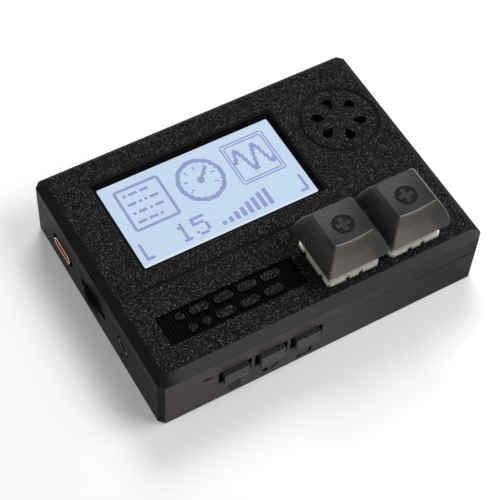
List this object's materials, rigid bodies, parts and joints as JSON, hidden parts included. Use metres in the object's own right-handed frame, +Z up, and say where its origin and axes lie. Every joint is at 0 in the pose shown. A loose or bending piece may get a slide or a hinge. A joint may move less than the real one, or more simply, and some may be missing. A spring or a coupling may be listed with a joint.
{
  "type": "morse code trainer",
  "caption": "Hand-held practice unit for Morse code: black two-part case with a lit display, a round speaker grille, sprung key switches, side buttons and a volume thumbwheel.",
  "frame": {"origin": "centre of the flat underside of the case", "axes": "+X along the length, from the ports to the keys' side; +Y away from the user, towards the display's upper edge; +Z up out of the top face"},
  "size_m": [0.0987, 0.0731, 0.0352],
  "materials": {
    "case_black": "printed, textured top face, fine layer lines on the sides",
    "screw_steel": "blackened zinc",
    "brass": "plain",
    "display_glass": "lit pale blue with violet-blue pixels",
    "light_plate": "milky",
    "board": "solder mask",
    "header_black": "plain",
    "gold_pins": "plated",
    "smoky_cap": "satin, see-through",
    "milky_housing": "see-through",
    "white_base": "plain",
    "stem_dark": "plain",
    "spring_steel": "wire",
    "contact_copper": "plated",
    "chip_black": "moulded",
    "port_steel": "pressed sheet",
    "port_tongue": "plain",
    "wheel_black": "knurled edge",
    "pot_grey": "plain",
    "jack_black": "plain",
    "jack_steel": "plated",
    "speaker_steel": "pressed",
    "cone_film": "film",
    "gasket_foam": "foam",
    "wire_red_black": "insulated",
    "cell_silver": "pouch",
    "socket_white": "plain"
  },
  "bodies": {
    "case": {"top_cover": "case_black", "bottom_case": "case_black", "case_screws": "screw_steel", "threaded_inserts": "brass", "lcd_glass": "display_glass", "lcd_backlight": "light_plate", "lcd_board": "board", "lcd_screws": "screw_steel", "lcd_header_block": "header_black", "lcd_header_pins": "gold_pins", "key_board": "board", "key_header_block": "header_black", "key_header_pins": "gold_pins", "main_board": "board", "board_screws": "screw_steel", "processor_chip": "chip_black", "amplifier_chip": "chip_black", "charger_chip": "chip_black", "usb_shell": "port_steel", "usb_tongue": "port_tongue", "usb_contacts": "gold_pins", "volume_pot": "pot_grey", "jack_body": "jack_black", "jack_sleeve": "jack_steel", "jack_contacts": "contact_copper", "speaker_gasket": "gasket_foam", "speaker_frame": "speaker_steel", "speaker_cone": "cone_film", "speaker_magnet": "speaker_steel", "speaker_leads": "wire_red_black", "battery_cell": "cell_silver", "battery_pad": "gasket_foam", "battery_socket": "socket_white", "battery_plug": "socket_white", "battery_leads": "wire_red_black", "left_switch_spring": "spring_steel", "left_switch_housing": "milky_housing", "left_switch_base": "white_base", "left_leaf_contact": "contact_copper", "left_fixed_contact": "contact_copper", "right_switch_spring": "spring_steel", "right_switch_housing": "milky_housing", "right_switch_base": "white_base", "right_leaf_contact": "contact_copper", "right_fixed_contact": "contact_copper", "menu_switch": "chip_black", "mode_switch": "chip_black", "back_switch": "chip_black"},
    "left_key": {"left_keycap": "smoky_cap", "left_switch_stem": "stem_dark"},
    "right_key": {"right_keycap": "smoky_cap", "right_switch_stem": "stem_dark"},
    "menu_button": {"menu_button": "case_black", "menu_plunger": "white_base"},
    "mode_button": {"mode_button": "case_black", "mode_plunger": "white_base"},
    "back_button": {"back_button": "case_black", "back_plunger": "white_base"},
    "volume_wheel": {"volume_wheel": "wheel_black", "wheel_screw": "screw_steel"}
  },
  "joints": [
    {"name": "left_key_press", "type": "slide", "parent": "case", "child": "left_key", "axis": [0, 0, -1], "range_m": [0, 0.004], "stiffness_N_per_m": 62, "springref_m": -0.0055, "deforming": ["left_switch_spring"]},
    {"name": "right_key_press", "type": "slide", "parent": "case", "child": "right_key", "axis": [0, 0, -1], "range_m": [0, 0.004], "stiffness_N_per_m": 62, "springref_m": -0.0055, "deforming": ["right_switch_spring"]},
    {"name": "menu_button_press", "type": "slide", "parent": "case", "child": "menu_button", "axis": [0, 1, 0], "range_m": [0, 0.0003], "stiffness_N_per_m": 1500, "springref_m": -0.0002},
    {"name": "mode_button_press", "type": "slide", "parent": "case", "child": "mode_button", "axis": [0, 1, 0], "range_m": [0, 0.0003], "stiffness_N_per_m": 1500, "springref_m": -0.0002},
    {"name": "back_button_press", "type": "slide", "parent": "case", "child": "back_button", "axis": [0, 1, 0], "range_m": [0, 0.0003], "stiffness_N_per_m": 1500, "springref_m": -0.0002},
    {"name": "volume_turn", "type": "hinge", "parent": "case", "child": "volume_wheel", "pos_m": [-0.0427, 0.00129, 0.0093], "axis": [0, 0, 1], "range_deg": [-150, 150]}
  ]
}
